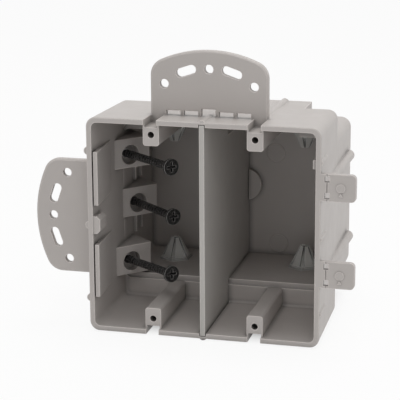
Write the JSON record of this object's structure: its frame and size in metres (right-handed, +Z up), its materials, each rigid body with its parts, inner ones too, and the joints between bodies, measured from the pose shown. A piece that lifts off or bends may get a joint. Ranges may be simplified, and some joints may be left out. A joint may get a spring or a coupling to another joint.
{
  "type": "two-gang electrical box",
  "caption": "Moulded wall box for two side-by-side devices, with a stepped rear, nailing flanges, break-off ears, slanted mounting screws, a slide-out divider and cable clamps.",
  "frame": {"origin": "centre of the four device screws, on the plane of their boss faces", "axes": "+X to the right seen from the open front, +Y back into the box, +Z up"},
  "size_m": [0.1475, 0.0893, 0.1267],
  "materials": {
    "body_plastic": "satin",
    "divider_plastic": "satin",
    "clamp_plastic": "satin",
    "screw_black": "satin"
  },
  "bodies": {
    "box": {"box_body": "body_plastic", "cable_clamp_top_left": "clamp_plastic", "cable_clamp_top_right": "clamp_plastic", "cable_clamp_bottom_left": "clamp_plastic", "cable_clamp_bottom_right": "clamp_plastic"},
    "divider": {"divider": "divider_plastic"},
    "mounting_screw_top": {"mounting_screw_top": "screw_black"},
    "mounting_screw_middle": {"mounting_screw_middle": "screw_black"},
    "mounting_screw_bottom": {"mounting_screw_bottom": "screw_black"}
  },
  "joints": [
    {"name": "divider_slide", "type": "slide", "parent": "box", "child": "divider", "axis": [0, -1, 0], "range_m": [0, 0.092]},
    {"name": "top_screw_drive", "type": "slide", "parent": "box", "child": "mounting_screw_top", "axis": [-0.7429, 0.6689, -0.0262], "range_m": [0, 0.0357]},
    {"name": "middle_screw_drive", "type": "slide", "parent": "box", "child": "mounting_screw_middle", "axis": [-0.7431, 0.6691, 0], "range_m": [0, 0.0313]},
    {"name": "bottom_screw_drive", "type": "slide", "parent": "box", "child": "mounting_screw_bottom", "axis": [-0.7418, 0.6679, -0.061], "range_m": [0, 0.0352]}
  ]
}
